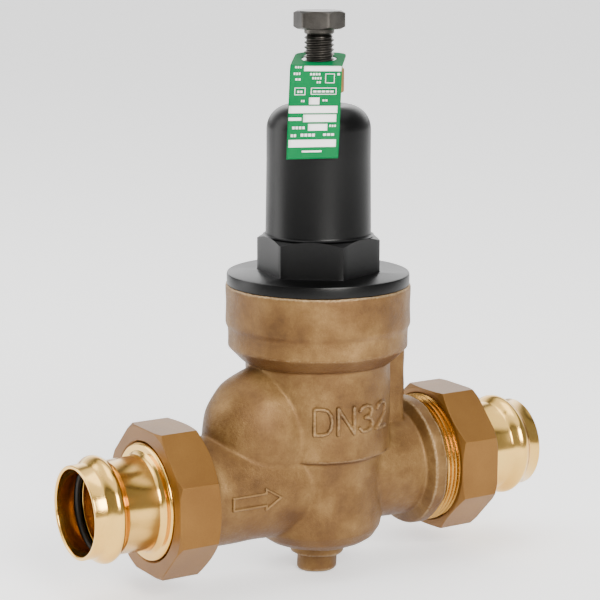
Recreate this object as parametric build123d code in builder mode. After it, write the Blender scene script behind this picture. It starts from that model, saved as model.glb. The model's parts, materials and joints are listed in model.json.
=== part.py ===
from build123d import *
import os
from math import cos, pi, radians, sin

# Pressure reducing valve for 1-1/4 in press-fitted copper tube, in millimetres.
# The origin is where the pipe run (X) meets the valve's upright axis (Z).
# Water comes in from -X, and the adjusting bolt is on top.

os.makedirs("parts", exist_ok=True)

# ---- clearances ----
thread_gap = 0.05          # radial gap between a screw's crest cylinder and its nut's bore
slide_gap = 0.05           # radial gap of a sliding fit

# ---- pipe run ----
inlet_extra = 9.1          # the inlet leg is longer than the outlet leg by this much
pipe_r = 22.9
waterway_r = 15.9
collar_start = {"outlet": 42.8, "inlet": 62.6}    # from the upright axis
collar_end = {"outlet": 48.3, "inlet": 63.2}      # where the union thread starts
collar_r = 27.9
collar_slope = 2.0
union_thread_r = 27.6
face_end = 65.5            # outlet leg's machined end face, which the gasket seals on
face_chamfer = 1.0

# ---- union nut and press tailpiece (outlet distances) ----
gasket_thick = 2.0
gasket_in_r = 16.5
gasket_out_r = 26.6
flange_thick = 2.9
flange_r = 27.2
nut_start = 54.5
nut_end = 73.3
nut_flats = 60.4
nut_lip = 2.8
nut_chamfer = 2.0
hub_r = 24.25
hub_end = 74.2
tube_r = 19.2
bead_r = 22.0
bead_half = 3.8
bead_from_rim = 10.2
rim_end = 104.8
socket_r = 17.6            # takes tube of 34.9 mm outside diameter
socket_depth = 26.0
groove_r = 20.6
groove_half = 1.9
press_ring_wire = 1.5

# ---- body, upright ----
drum_r = 38.65
drum_top = 82.5
drum_step_z = 64.8
drum_low_r = 37.8
drum_low_z = 56.5
neck_r = 32.3
neck_z = 51.0
neck_drop = 1.0            # height in which the neck narrows to the barrel
barrel_r = 30.45
barrel_low_z = 12.5
barrel_drop = 1.5
chamber_out_r = 27.8
chamber_low_z = -28.8
chamber_fillet = 12.0
boss_r = 11.4
boss_low_z = -34.0
lug_r = 8.5
lug_low_z = -41.2
hood_r = 22.6              # rounded hood that carries the water up to the seat module
hood_x = -29.5
hood_z = 26.5
web_x = 38.3               # web with the sensing passage, on the outlet side
web_half = 10.0
web_start = 20.0
web_low = 18.0
web_high = 54.0
web_corner = 2.0           # its two upright corners

# ---- body, where the two bores stop short of the barrel ----
inlet_bore_end = 32.0
outlet_bore_start = 24.5

# ---- body, inside ----
skirt_bore_r = 34.4
ledge_z = 66.2
sense_r = 28.0
floor_z = 56.0
plug_bore_r = 26.0
plug_step_z = 46.0
annulus_r = 25.2
bridge_top = 14.0
bridge_low = 6.0
bridge_r = 20.0
chamber_r = 23.8
chamber_floor = -22.0
chamber_bevel = 8.0
snap_z = 54.0
snap_thick = 1.2
snap_out_r = 27.2
snap_in_r = 24.0
snap_gap_deg = 60.0

# ---- seat module ----
seat_r = 12.5
lip_r = 14.5
lip_z = 4.5
module_wall_r = 21.0
module_in_r = 17.5
partition_low = 43.5
window_low = 17.5
window_high = 42.0
window_count = 6
window_width = 13.0
screen_out_r = 21.6
screen_in_r = 21.1
screen_rows = 6
screen_around = 20
screen_hole_r = 1.3

# ---- valve plug ----
stem_r = 5.0
stem_top_r = 4.0
stem_shoulder = 62.2
stem_top = 78.6
disc_top = 0.5
disc_thick = 4.0
disc_r = 15.4
holder_r = 17.5
holder_low = -7.5
screw_r = 2.5
screw_head = 3.5

# ---- diaphragm stack ----
plate_r = 21.5
plate_low = 62.2
washer_thick = 2.0
rubber_thick = 2.2
plate_thick = 3.0
rim_r = 34.2
slip_thick = 1.5
roll_height = 3.2

# ---- spring and button ----
spring_low = 69.4
spring_high = 128.0
spring_r = 14.2
spring_wire = 2.6
spring_turns = 6.5
button_r = 17.0
button_pilot_r = 10.6      # centres the spring's top coil
button_boss_r = 9.6
button_height = 8.0

# ---- spring cage ----
cage_flange_top = 87.45
cage_flange_r = 38.2
skirt_r = 34.3
skirt_in_r = 30.5
skirt_low = 69.9
skirt_straight = 6.0
hex_corner_r = 26.0
hex_top = 103.0
hex_phase = 21.2
hex_turned = 2.6           # how far in from its corners the hexagon's top is turned down
hex_drop = 1.86
cage_low_r = 22.0
cage_high_r = 21.6
cage_top = 157.0
cage_fillet = 10.0
cage_in_r = 18.3
cage_roof = 145.0
roof_bevel = 3.0
cage_boss_r = 9.0
cage_boss_top = 161.8
insert_thick = 10.0

# ---- adjusting bolt, 1/2-13 UNC, and what is on it ----
bolt_r = 6.35
bolt_flats = 19.05
bolt_tip = 132.6
bolt_tip_chamfer = 1.5
head_low = 187.9
head_top = 195.3
head_chamfer = 1.3
bolt_phase = 19.9
lock_top = 172.6
tag_width = 21.2
tag_thick = 0.8
tag_z = 173.2
tag_hole_r = 7.2
tag_turn = -30.0           # the way the tag faces, about the upright axis
tag_back = 11.0
tag_bend = 12.6            # distance of the bend from the axis
tag_lean = 21.0            # how far the hanging leaf leans out from the vertical
tag_leaf = 37.6

run_plane = {
    "outlet": Plane(origin=(0, 0, 0), x_dir=(1, 0, 0), z_dir=(0, -1, 0)),
    "inlet": Plane(origin=(0, 0, 0), x_dir=(-1, 0, 0), z_dir=(0, 1, 0)),
}
run_extra = {"outlet": 0.0, "inlet": inlet_extra}
run_sign = {"outlet": 1, "inlet": -1}


def outline(plane, points):
    """The flat face inside a closed outline of straight sides."""
    with BuildSketch(plane) as flat:
        with BuildLine():
            Polyline(*points, close=True)
        make_face()
    return flat.sketch


def finish(piece, name):
    piece.part.label = name
    export_step(piece.part, f"parts/{name}.step")


# ======== body ========

# The space under the hood: a sphere that stops short of the wall round the lower chamber.
hood_wall = 4.3
bridge_clear = 1.5         # metal left over the bridge
with BuildPart() as hood_space:
    with Locations((hood_x, 0, hood_z)):
        Sphere(hood_r - hood_wall)
    Box(2 * inlet_bore_end, 3 * hood_r, 2 * (bridge_top + bridge_clear), mode=Mode.SUBTRACT)

# The way from the lower chamber into the outlet bore, kept below the seat module's lower seal.
throat_top = bridge_low - 0.5
with BuildPart() as outlet_throat:
    with BuildSketch(Plane.YZ):
        Circle(waterway_r)
    extrude(amount=outlet_bore_start + 0.5)
    with Locations((0, 0, throat_top + waterway_r)):
        Box(4 * outlet_bore_start, 4 * waterway_r, 2 * waterway_r, mode=Mode.SUBTRACT)

with BuildPart() as body:
    with BuildSketch(Plane.XZ):
        with BuildLine():
            Polyline(
                (0, drum_top), (0, lug_low_z), (lug_r, lug_low_z), (lug_r, boss_low_z),
                (boss_r, boss_low_z), (boss_r, chamber_low_z),
                (chamber_out_r - chamber_fillet, chamber_low_z),
            )
            ThreePointArc(
                (chamber_out_r - chamber_fillet, chamber_low_z),
                (
                    chamber_out_r - chamber_fillet * (1 - sin(pi / 4)),
                    chamber_low_z + chamber_fillet * (1 - cos(pi / 4)),
                ),
                (chamber_out_r, chamber_low_z + chamber_fillet),
            )
            Polyline(
                (chamber_out_r, chamber_low_z + chamber_fillet),
                (chamber_out_r, barrel_low_z - barrel_drop),
                (barrel_r, barrel_low_z), (barrel_r, neck_z - neck_drop), (neck_r, neck_z),
                (drum_low_r, drum_low_z), (drum_low_r, drum_step_z), (drum_r, drum_step_z),
                (drum_r, drum_top), (0, drum_top),
            )
        make_face()
    revolve(axis=Axis.Z)

    # pipe legs, each with its collar and the crest cylinder of its union thread
    for side in ("outlet", "inlet"):
        extra = run_extra[side]
        revolve(
            outline(
                run_plane[side],
                [
                    (0, 0), (0, pipe_r), (collar_start[side] - collar_slope, pipe_r),
                    (collar_start[side], collar_r), (collar_end[side], collar_r),
                    (collar_end[side], union_thread_r),
                    (face_end + extra - face_chamfer, union_thread_r),
                    (face_end + extra, union_thread_r - face_chamfer), (face_end + extra, 0),
                ],
            ),
            axis=Axis.X,
        )

    # hood over the inlet, and the web over the outlet
    with Locations((hood_x, 0, hood_z)):
        Sphere(hood_r)
    with BuildSketch(Plane.XY.offset(web_low)):
        with Locations(((web_start + web_x) / 2, 0)):
            Rectangle(web_x - web_start, 2 * web_half)
        fillet(vertices().group_by(Axis.X)[-1], radius=web_corner)
    extrude(amount=web_high - web_low)

    # stepped bore for the cage, the diaphragm, the seat module and the outlet chamber
    revolve(
        outline(
            Plane.XZ,
            [
                (0, drum_top), (skirt_bore_r, drum_top), (skirt_bore_r, ledge_z), (sense_r, ledge_z),
                (sense_r, floor_z), (plug_bore_r, floor_z), (plug_bore_r, plug_step_z),
                (annulus_r, plug_step_z), (annulus_r, bridge_top), (bridge_r, bridge_top),
                (bridge_r, bridge_low), (chamber_r, bridge_low), (chamber_r, chamber_floor + chamber_bevel),
                (chamber_r - chamber_bevel, chamber_floor), (0, chamber_floor),
            ],
        ),
        axis=Axis.Z,
        mode=Mode.SUBTRACT,
    )
    snap_groove_r = snap_out_r + 0.1
    revolve(
        outline(
            Plane.XZ,
            [
                (plug_bore_r - 1, snap_z - slide_gap), (snap_groove_r, snap_z - slide_gap),
                (snap_groove_r, snap_z + snap_thick + slide_gap),
                (plug_bore_r - 1, snap_z + snap_thick + slide_gap),
            ],
        ),
        axis=Axis.Z,
        mode=Mode.SUBTRACT,
    )
    # waterways: the outlet bore meets the lower chamber through its throat, the inlet bore the hood
    revolve(
        outline(
            run_plane["outlet"],
            [
                (outlet_bore_start, 0), (outlet_bore_start, waterway_r), (face_end, waterway_r),
                (face_end, 0),
            ],
        ),
        axis=Axis.X,
        mode=Mode.SUBTRACT,
    )
    revolve(
        outline(
            run_plane["inlet"],
            [
                (inlet_bore_end, 0), (inlet_bore_end, waterway_r),
                (face_end + inlet_extra, waterway_r), (face_end + inlet_extra, 0),
            ],
        ),
        axis=Axis.X,
        mode=Mode.SUBTRACT,
    )
    add(outlet_throat.part, mode=Mode.SUBTRACT)
    add(hood_space.part, mode=Mode.SUBTRACT)

    # sensing passage: up the web from the outlet, then across into the diaphragm chamber
    passage_x = 34.0
    passage_r = 2.1
    passage_z = 60.5
    breakthrough = 4.0         # how far each drilling runs on into the space it opens
    with BuildSketch(Plane.XY.offset(waterway_r - breakthrough)):
        with Locations((passage_x, 0)):
            Circle(passage_r)
    extrude(amount=passage_z - waterway_r + breakthrough, mode=Mode.SUBTRACT)
    with BuildSketch(Plane.YZ.offset(sense_r - breakthrough)):
        with Locations((0, passage_z)):
            Circle(passage_r)
    extrude(amount=passage_x - sense_r + breakthrough, mode=Mode.SUBTRACT)
finish(body, "body")

# ======== seat module and its seals ========

with BuildPart() as seat_module:
    plug_r = plug_bore_r - slide_gap
    boss_out_r = bridge_r - slide_gap
    upper_groove = (48.4, 51.6, 23.4)      # from, to, and the groove's floor radius
    lower_groove = (8.4, 11.6, 17.6)
    stem_groove = (48.6, 51.4, 7.4)
    revolve(
        outline(
            Plane.XZ,
            [
                (seat_r, lip_z), (lip_r, lip_z), (lip_r, bridge_low), (boss_out_r, bridge_low),
                (boss_out_r, lower_groove[0]), (lower_groove[2], lower_groove[0]),
                (lower_groove[2], lower_groove[1]), (boss_out_r, lower_groove[1]),
                (boss_out_r, bridge_top + 0.3), (module_wall_r, bridge_top + 0.3),
                (module_wall_r, plug_step_z), (plug_r, plug_step_z), (plug_r, upper_groove[0]),
                (upper_groove[2], upper_groove[0]), (upper_groove[2], upper_groove[1]),
                (plug_r, upper_groove[1]), (plug_r, snap_z), (stem_r + slide_gap, snap_z),
                (stem_r + slide_gap, stem_groove[1]), (stem_groove[2], stem_groove[1]),
                (stem_groove[2], stem_groove[0]), (stem_r + slide_gap, stem_groove[0]),
                (stem_r + slide_gap, partition_low), (module_in_r, partition_low),
                (module_in_r, bridge_top + 3), (seat_r, bridge_top - 1),
            ],
        ),
        axis=Axis.Z,
    )
    window_height = window_high - window_low
    for index in range(window_count):
        turned = Plane.XZ.rotated((0, 0, index * 360 / window_count))
        with BuildSketch(turned):
            with Locations((0, (window_low + window_high) / 2)):
                RectangleRounded(window_width, window_height, 3)
        extrude(amount=module_wall_r + 2, mode=Mode.SUBTRACT)
finish(seat_module, "seat_module")


def o_ring(name, ring_r, wire_r, height):
    """A round-section ring about the upright axis, as it sits squeezed in its groove."""
    with BuildPart() as ring:
        with BuildSketch(Plane.XZ):
            with Locations((ring_r, height)):
                Circle(wire_r)
        revolve(axis=Axis.Z)
    finish(ring, name)
    return ring


seat_o_ring_upper = o_ring("seat_o_ring_upper", 24.68, 1.26, sum(upper_groove[:2]) / 2)
seat_o_ring_lower = o_ring("seat_o_ring_lower", 18.79, 1.17, sum(lower_groove[:2]) / 2)
stem_o_ring = o_ring("stem_o_ring", 6.22, 1.16, sum(stem_groove[:2]) / 2)

with BuildPart() as seat_module_snap_ring:
    with BuildSketch(Plane.XY.offset(snap_z)):
        Circle(snap_out_r)
        Circle(snap_in_r, mode=Mode.SUBTRACT)
        with BuildLine():
            Line((0, 0), (40 * cos(radians(snap_gap_deg / 2)), 40 * sin(radians(snap_gap_deg / 2))))
            Line(
                (40 * cos(radians(snap_gap_deg / 2)), 40 * sin(radians(snap_gap_deg / 2))),
                (40 * cos(radians(snap_gap_deg / 2)), -40 * sin(radians(snap_gap_deg / 2))),
            )
            Line((40 * cos(radians(snap_gap_deg / 2)), -40 * sin(radians(snap_gap_deg / 2))), (0, 0))
        make_face(mode=Mode.SUBTRACT)
    extrude(amount=snap_thick)
finish(seat_module_snap_ring, "seat_module_snap_ring")

with BuildPart() as strainer_screen:
    with BuildSketch(Plane.XY.offset(bridge_top + 0.8)):
        Circle(screen_out_r)
        Circle(screen_in_r, mode=Mode.SUBTRACT)
    extrude(amount=plug_step_z - bridge_top - 1)
    row_pitch = (window_high - window_low) / screen_rows
    for row in range(screen_rows):
        row_z = window_low + (row + 0.5) * row_pitch
        for index in range(screen_around // 2):
            turned = Plane.XZ.rotated((0, 0, (index + 0.5 * (row % 2)) * 360 / screen_around))
            with BuildSketch(turned):
                with Locations((0, row_z)):
                    Circle(screen_hole_r)
            extrude(amount=screen_out_r + 2, both=True, mode=Mode.SUBTRACT)
finish(strainer_screen, "strainer_screen")

# ======== valve plug ========

with BuildPart() as valve_stem:
    revolve(
        outline(
            Plane.XZ,
            [
                (screw_r + slide_gap, disc_top), (7.5, disc_top), (7.5, disc_top + 2), (stem_r, disc_top + 2),
                (stem_r, stem_shoulder), (stem_top_r, stem_shoulder), (stem_top_r, stem_top - 1),
                (stem_top_r - 1, stem_top), (0, stem_top), (0, 12), (screw_r + slide_gap, 12),
            ],
        ),
        axis=Axis.Z,
    )
finish(valve_stem, "valve_stem")

disc_low = disc_top - disc_thick
with BuildPart() as seat_disc:
    revolve(
        outline(
            Plane.XZ,
            [
                (screw_r + slide_gap, disc_low), (disc_r, disc_low), (disc_r, disc_top - 0.4),
                (disc_r - 0.4, disc_top), (screw_r + slide_gap, disc_top),
            ],
        ),
        axis=Axis.Z,
    )
finish(seat_disc, "seat_disc")

with BuildPart() as disc_holder:
    revolve(
        outline(
            Plane.XZ,
            [
                (screw_r + slide_gap, holder_low), (holder_r - 2, holder_low), (holder_r, holder_low + 2),
                (holder_r, disc_top - 1), (disc_r + slide_gap, disc_top - 1), (disc_r + slide_gap, disc_low),
                (screw_r + slide_gap, disc_low),
            ],
        ),
        axis=Axis.Z,
    )
finish(disc_holder, "disc_holder")

with BuildPart() as disc_screw:
    with BuildSketch(Plane.XY.offset(holder_low - screw_head)):
        RegularPolygon(4.75, 6, major_radius=False)
    extrude(amount=screw_head)
    with BuildSketch(Plane.XY.offset(holder_low)):
        Circle(screw_r)
    extrude(amount=11 - holder_low)
finish(disc_screw, "disc_screw")

# ======== diaphragm stack ========

rubber_low = plate_low + washer_thick
rubber_top = rubber_low + rubber_thick
plate_top = rubber_top + plate_thick
stem_hole = stem_top_r + slide_gap

with BuildPart() as diaphragm_washer:
    revolve(
        outline(
            Plane.XZ,
            [
                (stem_hole, plate_low), (plate_r - 1, plate_low), (plate_r, plate_low + 1),
                (plate_r, rubber_low), (stem_hole, rubber_low),
            ],
        ),
        axis=Axis.Z,
    )
finish(diaphragm_washer, "diaphragm_washer")

# Rubber sheet: flat centre, one roll standing up between plate and rim, clamped flat rim.
with BuildPart() as diaphragm:
    roll_in = plate_r + 0.6
    roll_out = sense_r - 0.2
    roll_mid = (roll_in + roll_out) / 2
    with BuildSketch(Plane.XZ):
        with BuildLine():
            Line((stem_hole, rubber_low), (roll_in, rubber_low))
            ThreePointArc(
                (roll_in, rubber_low), (roll_mid, rubber_low + roll_height), (roll_out, ledge_z)
            )
            Polyline(
                (roll_out, ledge_z), (rim_r, ledge_z), (rim_r, ledge_z + rubber_thick),
                (roll_out, ledge_z + rubber_thick),
            )
            ThreePointArc(
                (roll_out, ledge_z + rubber_thick),
                (roll_mid, rubber_top + roll_height),
                (roll_in, rubber_top),
            )
            Polyline((roll_in, rubber_top), (stem_hole, rubber_top), (stem_hole, rubber_low))
        make_face()
    revolve(axis=Axis.Z)
finish(diaphragm, "diaphragm")

with BuildPart() as spring_disc:
    revolve(
        outline(
            Plane.XZ,
            [
                (stem_hole, rubber_top), (plate_r, rubber_top), (plate_r, plate_top - 0.8),
                (plate_r - 0.8, plate_top), (10.9, plate_top), (10.4, plate_top + 1.6),
                (stem_hole, plate_top + 1.6),
            ],
        ),
        axis=Axis.Z,
    )
finish(spring_disc, "spring_disc")

with BuildPart() as diaphragm_nut:
    with BuildSketch(Plane.XY.offset(plate_top + 1.6)):
        RegularPolygon(6.5, 6, major_radius=False)
        Circle(stem_hole, mode=Mode.SUBTRACT)
    extrude(amount=6.5)
finish(diaphragm_nut, "diaphragm_nut")

with BuildPart() as slip_ring:
    with BuildSketch(Plane.XY.offset(ledge_z + rubber_thick)):
        Circle(rim_r)
        Circle(sense_r + 0.4, mode=Mode.SUBTRACT)
    extrude(amount=slip_thick)
finish(slip_ring, "slip_ring")

# ======== spring and button ========

with BuildPart() as adjusting_spring:
    helix_low = spring_low + spring_wire + 0.05
    helix_high = spring_high - spring_wire - 0.05
    with BuildLine() as coil:
        Helix(
            pitch=(helix_high - helix_low) / spring_turns,
            height=helix_high - helix_low,
            radius=spring_r,
            center=(0, 0, helix_low),
        )
    with BuildSketch(Plane(origin=coil.line @ 0, z_dir=coil.line % 0)):
        Circle(spring_wire)
    sweep(path=coil.line, is_frenet=True)
finish(adjusting_spring, "adjusting_spring")

with BuildPart() as spring_button:
    revolve(
        outline(
            Plane.XZ,
            [
                (0, spring_high - 2), (button_pilot_r, spring_high - 2),
                (button_pilot_r + 0.3, spring_high), (button_r - 0.8, spring_high),
                (button_r, spring_high + 0.8), (button_r, spring_high + 3),
                (button_boss_r, spring_high + 4.5), (button_boss_r, spring_high + button_height),
                (bolt_r + 0.3, spring_high + button_height), (bolt_r + 0.3, bolt_tip - 0.1),
                (0, bolt_tip - 0.1),
            ],
        ),
        axis=Axis.Z,
    )
finish(spring_button, "spring_button")

# ======== spring cage ========

with BuildPart() as spring_cage:
    revolve(
        outline(
            Plane.XZ,
            [
                (0, skirt_low), (skirt_r, skirt_low), (skirt_r, drum_top), (cage_flange_r, drum_top),
                (cage_flange_r, cage_flange_top - 1), (cage_flange_r - 1, cage_flange_top),
                (0, cage_flange_top),
            ],
        ),
        axis=Axis.Z,
    )
    with BuildSketch(Plane.XY.offset(cage_flange_top)):
        RegularPolygon(hex_corner_r, 6, rotation=hex_phase)
    extrude(amount=hex_top - cage_flange_top)
    revolve(
        outline(
            Plane.XZ,
            [
                (hex_corner_r - hex_turned, hex_top), (hex_corner_r + 0.6, hex_top - hex_drop),
                (hex_corner_r + 0.6, hex_top + 1), (hex_corner_r - hex_turned, hex_top + 1),
            ],
        ),
        axis=Axis.Z,
        mode=Mode.SUBTRACT,
    )
    with BuildSketch(Plane.XZ):
        with BuildLine():
            Polyline(
                (0, hex_top - 2), (cage_low_r, hex_top - 2), (cage_low_r, hex_top + 2),
                (cage_high_r, cage_top - 22), (cage_high_r, cage_top - cage_fillet),
            )
            ThreePointArc(
                (cage_high_r, cage_top - cage_fillet),
                (
                    cage_high_r - cage_fillet * (1 - cos(pi / 4)),
                    cage_top - cage_fillet * (1 - sin(pi / 4)),
                ),
                (cage_high_r - cage_fillet, cage_top),
            )
            Polyline(
                (cage_high_r - cage_fillet, cage_top), (cage_boss_r, cage_top),
                (cage_boss_r, cage_boss_top), (0, cage_boss_top), (0, hex_top - 2),
            )
        make_face()
    revolve(axis=Axis.Z)
    revolve(
        outline(
            Plane.XZ,
            [
                (0, skirt_low), (skirt_in_r, skirt_low), (skirt_in_r, skirt_low + skirt_straight),
                (cage_in_r, drum_top + 1), (cage_in_r, cage_roof - roof_bevel),
                (cage_in_r - roof_bevel, cage_roof), (0, cage_roof),
            ],
        ),
        axis=Axis.Z,
        mode=Mode.SUBTRACT,
    )
    with BuildSketch(Plane.XY.offset(cage_roof)):
        RegularPolygon(bolt_flats / 2, 6, major_radius=False, rotation=hex_phase)
    extrude(amount=insert_thick, mode=Mode.SUBTRACT)
    with BuildSketch(Plane.XY.offset(cage_roof)):
        Circle(bolt_r + 0.4)
    extrude(amount=cage_boss_top - cage_roof, mode=Mode.SUBTRACT)
finish(spring_cage, "spring_cage")


def hex_nut(name, flats, bore_r, low, high, phase, chamfer):
    """A hexagon nut about the upright axis, its corners turned down at both faces."""
    with BuildPart() as nut:
        with BuildSketch(Plane.XY.offset(low)):
            RegularPolygon(flats / 2, 6, major_radius=False, rotation=phase)
            Circle(bore_r, mode=Mode.SUBTRACT)
        extrude(amount=high - low)
        corner = flats / 2 / cos(pi / 6)
        for edge, inward in ((low, chamfer), (high, -chamfer)):
            if chamfer:
                revolve(
                    outline(
                        Plane.XZ,
                        [(flats / 2, edge), (corner + 0.5, edge), (corner + 0.5, edge + inward)],
                    ),
                    axis=Axis.Z,
                    mode=Mode.SUBTRACT,
                )
    finish(nut, name)
    return nut


cage_insert = hex_nut(
    "cage_insert", bolt_flats, bolt_r + thread_gap, cage_roof, cage_roof + insert_thick, hex_phase, 0
)
lock_nut = hex_nut(
    "lock_nut", bolt_flats, bolt_r + thread_gap, cage_boss_top, lock_top, 10.0, 1.0
)

# ======== adjusting bolt ========

with BuildPart() as adjusting_bolt:
    with BuildSketch(Plane.XY.offset(head_low)):
        RegularPolygon(bolt_flats / 2, 6, major_radius=False, rotation=bolt_phase)
    extrude(amount=head_top - head_low)
    for edge, inward in ((head_low, head_chamfer), (head_top, -head_chamfer)):
        revolve(
            outline(
                Plane.XZ,
                [
                    (bolt_flats / 2 - 0.3, edge), (bolt_flats / 2 + 2, edge),
                    (bolt_flats / 2 + 2, edge + inward),
                ],
            ),
            axis=Axis.Z,
            mode=Mode.SUBTRACT,
        )
    revolve(
        outline(
            Plane.XZ,
            [
                (0, bolt_tip), (bolt_r - bolt_tip_chamfer, bolt_tip),
                (bolt_r, bolt_tip + bolt_tip_chamfer), (bolt_r, head_low), (0, head_low),
            ],
        ),
        axis=Axis.Z,
    )
finish(adjusting_bolt, "adjusting_bolt")

# ======== tag ========

# One strip seen from its side: the top leaf lies on the lock nut, and the front leaf leans on the cage.
lean = radians(tag_lean)
with BuildPart() as setting_tag:
    tag_outer_bend = tag_bend + 0.65 * tag_thick
    tag_plane = Plane(origin=(0, 0, 0), x_dir=(0, -1, 0), z_dir=(-1, 0, 0)).rotated((0, 0, tag_turn))
    leaf_end = (tag_bend + tag_leaf * sin(lean), tag_z - tag_leaf * cos(lean))
    with BuildSketch(tag_plane):
        with BuildLine():
            Polyline(
                (-tag_back, tag_z), (tag_bend, tag_z), leaf_end,
                (leaf_end[0] + tag_thick * cos(lean), leaf_end[1] + tag_thick * sin(lean)),
                (tag_outer_bend, tag_z + tag_thick), (-tag_back, tag_z + tag_thick),
                close=True,
            )
        make_face()
    extrude(amount=tag_width / 2, both=True)
    with BuildSketch(Plane.XY.offset(tag_z - 1)):
        Circle(tag_hole_r)
    extrude(amount=4, mode=Mode.SUBTRACT)
finish(setting_tag, "setting_tag")

# ======== union ends: the same pieces on both sides, the inlet's further out ========

for side in ("inlet", "outlet"):
    plane = run_plane[side]
    extra = run_extra[side]

    with BuildPart() as union_gasket:
        revolve(
            outline(
                plane,
                [
                    (face_end + extra, gasket_in_r), (face_end + extra, gasket_out_r),
                    (face_end + extra + gasket_thick, gasket_out_r),
                    (face_end + extra + gasket_thick, gasket_in_r),
                ],
            ),
            axis=Axis.X,
        )
    finish(union_gasket, f"{side}_union_gasket")

    with BuildPart() as tailpiece:
        flange_low = face_end + gasket_thick + extra
        flange_high = flange_low + flange_thick
        rim = rim_end + extra
        bead = rim - bead_from_rim
        stop = rim - socket_depth
        with BuildSketch(plane):
            with BuildLine():
                Polyline(
                    (stop, socket_r), (stop, waterway_r), (flange_low, waterway_r), (flange_low, flange_r),
                    (flange_high, flange_r), (flange_high, hub_r), (hub_end + extra - 1.2, hub_r),
                    (hub_end + extra, hub_r - 1.2), (hub_end + extra, tube_r + 2),
                    (hub_end + extra + 2, tube_r), (bead - bead_half, tube_r),
                )
                ThreePointArc((bead - bead_half, tube_r), (bead, bead_r), (bead + bead_half, tube_r))
                Polyline(
                    (bead + bead_half, tube_r), (rim - 0.4, tube_r), (rim, tube_r - 0.4), (rim, socket_r),
                    (bead + groove_half, socket_r), (bead + groove_half, groove_r),
                    (bead - groove_half, groove_r), (bead - groove_half, socket_r), (stop, socket_r),
                )
            make_face()
        revolve(axis=Axis.X)
    finish(tailpiece, f"{side}_tailpiece")

    with BuildPart() as press_ring:
        with BuildSketch(plane):
            with Locations((rim - bead_from_rim, groove_r - press_ring_wire - 0.02)):
                Circle(press_ring_wire)
        revolve(axis=Axis.X)
    finish(press_ring, f"{side}_press_o_ring")

    with BuildPart() as union_nut:
        octagon = Plane(
            origin=(run_sign[side] * (nut_start + extra), 0, 0),
            x_dir=(0, 1, 0),
            z_dir=(run_sign[side], 0, 0),
        )
        with BuildSketch(octagon):
            RegularPolygon(nut_flats / 2, 8, major_radius=False, rotation=22.5)
        extrude(amount=nut_end - nut_start)
        corner_r = nut_flats / 2 / cos(pi / 8)
        revolve(
            outline(
                plane,
                [
                    (nut_end + extra, nut_flats / 2 - 0.8), (nut_end + extra, corner_r + 1),
                    (nut_end + extra - nut_chamfer - 1, corner_r + 1),
                ],
            ),
            axis=Axis.X,
            mode=Mode.SUBTRACT,
        )
        revolve(
            outline(
                plane,
                [
                    (nut_start + extra, nut_flats / 2), (nut_start + extra, corner_r + 1),
                    (nut_start + extra + nut_chamfer, corner_r + 1),
                ],
            ),
            axis=Axis.X,
            mode=Mode.SUBTRACT,
        )
        revolve(
            outline(
                plane,
                [
                    (nut_start + extra, 0), (nut_start + extra, union_thread_r + thread_gap),
                    (nut_end + extra - nut_lip, union_thread_r + thread_gap),
                    (nut_end + extra - nut_lip, hub_r + 0.35), (nut_end + extra - 0.6, hub_r + 0.35),
                    (nut_end + extra, hub_r + 0.95), (nut_end + extra, 0),
                ],
            ),
            axis=Axis.X,
            mode=Mode.SUBTRACT,
        )
    finish(union_nut, f"{side}_union_nut")
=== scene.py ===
import bpy
import bmesh
import json
import numpy as np
from math import ceil, cos, pi, radians, sin
from mathutils import Matrix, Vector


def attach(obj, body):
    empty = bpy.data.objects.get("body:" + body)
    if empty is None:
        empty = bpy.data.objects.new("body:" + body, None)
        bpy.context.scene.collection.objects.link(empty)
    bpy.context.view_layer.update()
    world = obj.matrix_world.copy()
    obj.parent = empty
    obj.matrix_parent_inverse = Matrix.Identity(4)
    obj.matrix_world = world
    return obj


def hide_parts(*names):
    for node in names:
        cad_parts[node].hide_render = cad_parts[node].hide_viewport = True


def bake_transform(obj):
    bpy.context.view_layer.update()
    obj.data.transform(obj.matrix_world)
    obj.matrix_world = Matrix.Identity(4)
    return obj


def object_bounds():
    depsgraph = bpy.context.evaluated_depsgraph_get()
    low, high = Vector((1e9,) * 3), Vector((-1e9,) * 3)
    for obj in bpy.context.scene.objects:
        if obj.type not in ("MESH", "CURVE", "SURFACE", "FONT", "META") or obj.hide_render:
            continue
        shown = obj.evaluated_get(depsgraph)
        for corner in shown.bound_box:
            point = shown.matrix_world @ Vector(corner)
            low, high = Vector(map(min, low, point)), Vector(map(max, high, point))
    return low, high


# A pressure reducing valve for water, measured in millimetres and put into the meshes in metres.
# +Z runs up to the adjusting bolt, and the water runs along the pipe from -X to +X.

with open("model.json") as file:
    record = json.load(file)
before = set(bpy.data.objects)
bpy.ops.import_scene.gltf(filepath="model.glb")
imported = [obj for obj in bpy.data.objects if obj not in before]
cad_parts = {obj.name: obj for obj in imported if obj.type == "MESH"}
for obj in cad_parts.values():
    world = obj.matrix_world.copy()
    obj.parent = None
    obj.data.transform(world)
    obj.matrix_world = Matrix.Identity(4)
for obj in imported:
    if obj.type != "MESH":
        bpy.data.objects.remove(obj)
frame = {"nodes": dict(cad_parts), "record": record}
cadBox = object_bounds()
mm = 0.001
fullTurn = 2 * pi
print("frame:", len(frame["nodes"]), "nodes")

# camera and light
camera = {
    "azimuth": -31.778, "elevation": 10.968, "roll": 0.173,
    "distance": 886.42, "across": -7.286, "up": 73.633, "lens": 124.99,
}


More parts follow.
